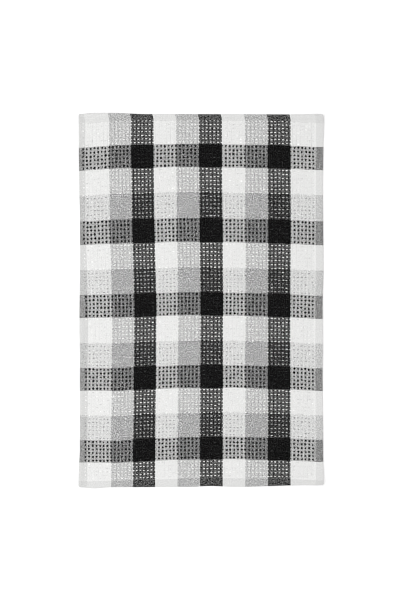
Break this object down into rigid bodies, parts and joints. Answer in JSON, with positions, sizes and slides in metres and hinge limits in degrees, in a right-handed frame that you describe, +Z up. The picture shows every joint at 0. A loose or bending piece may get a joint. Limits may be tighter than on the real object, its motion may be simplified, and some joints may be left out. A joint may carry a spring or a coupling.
{
  "type": "tea towel",
  "caption": "Flat woven cotton tea towel in a waffle weave with turned hems on all sides, for drying dishes and hands.",
  "frame": {"origin": "middle of the outline's box, on the surface that the towel lies on", "axes": "+X across the towel towards its wider side hem, +Y along the towel towards its narrower end hem, +Z up out of the cloth's face"},
  "size_m": [0.3964, 0.607, 0.0054],
  "materials": {
    "waffle_cotton": "matte waffle-woven cotton in a white, grey and black check",
    "white_yarn": "matte bleached cotton yarn",
    "grey_yarn": "matte dyed cotton yarn, mid grey",
    "black_yarn": "matte dyed cotton yarn, black",
    "sewing_thread": "grey spun polyester sewing thread with a slight sheen"
  },
  "bodies": {
    "root": {"towel": "waffle_cotton"}
  },
  "joints": []
}
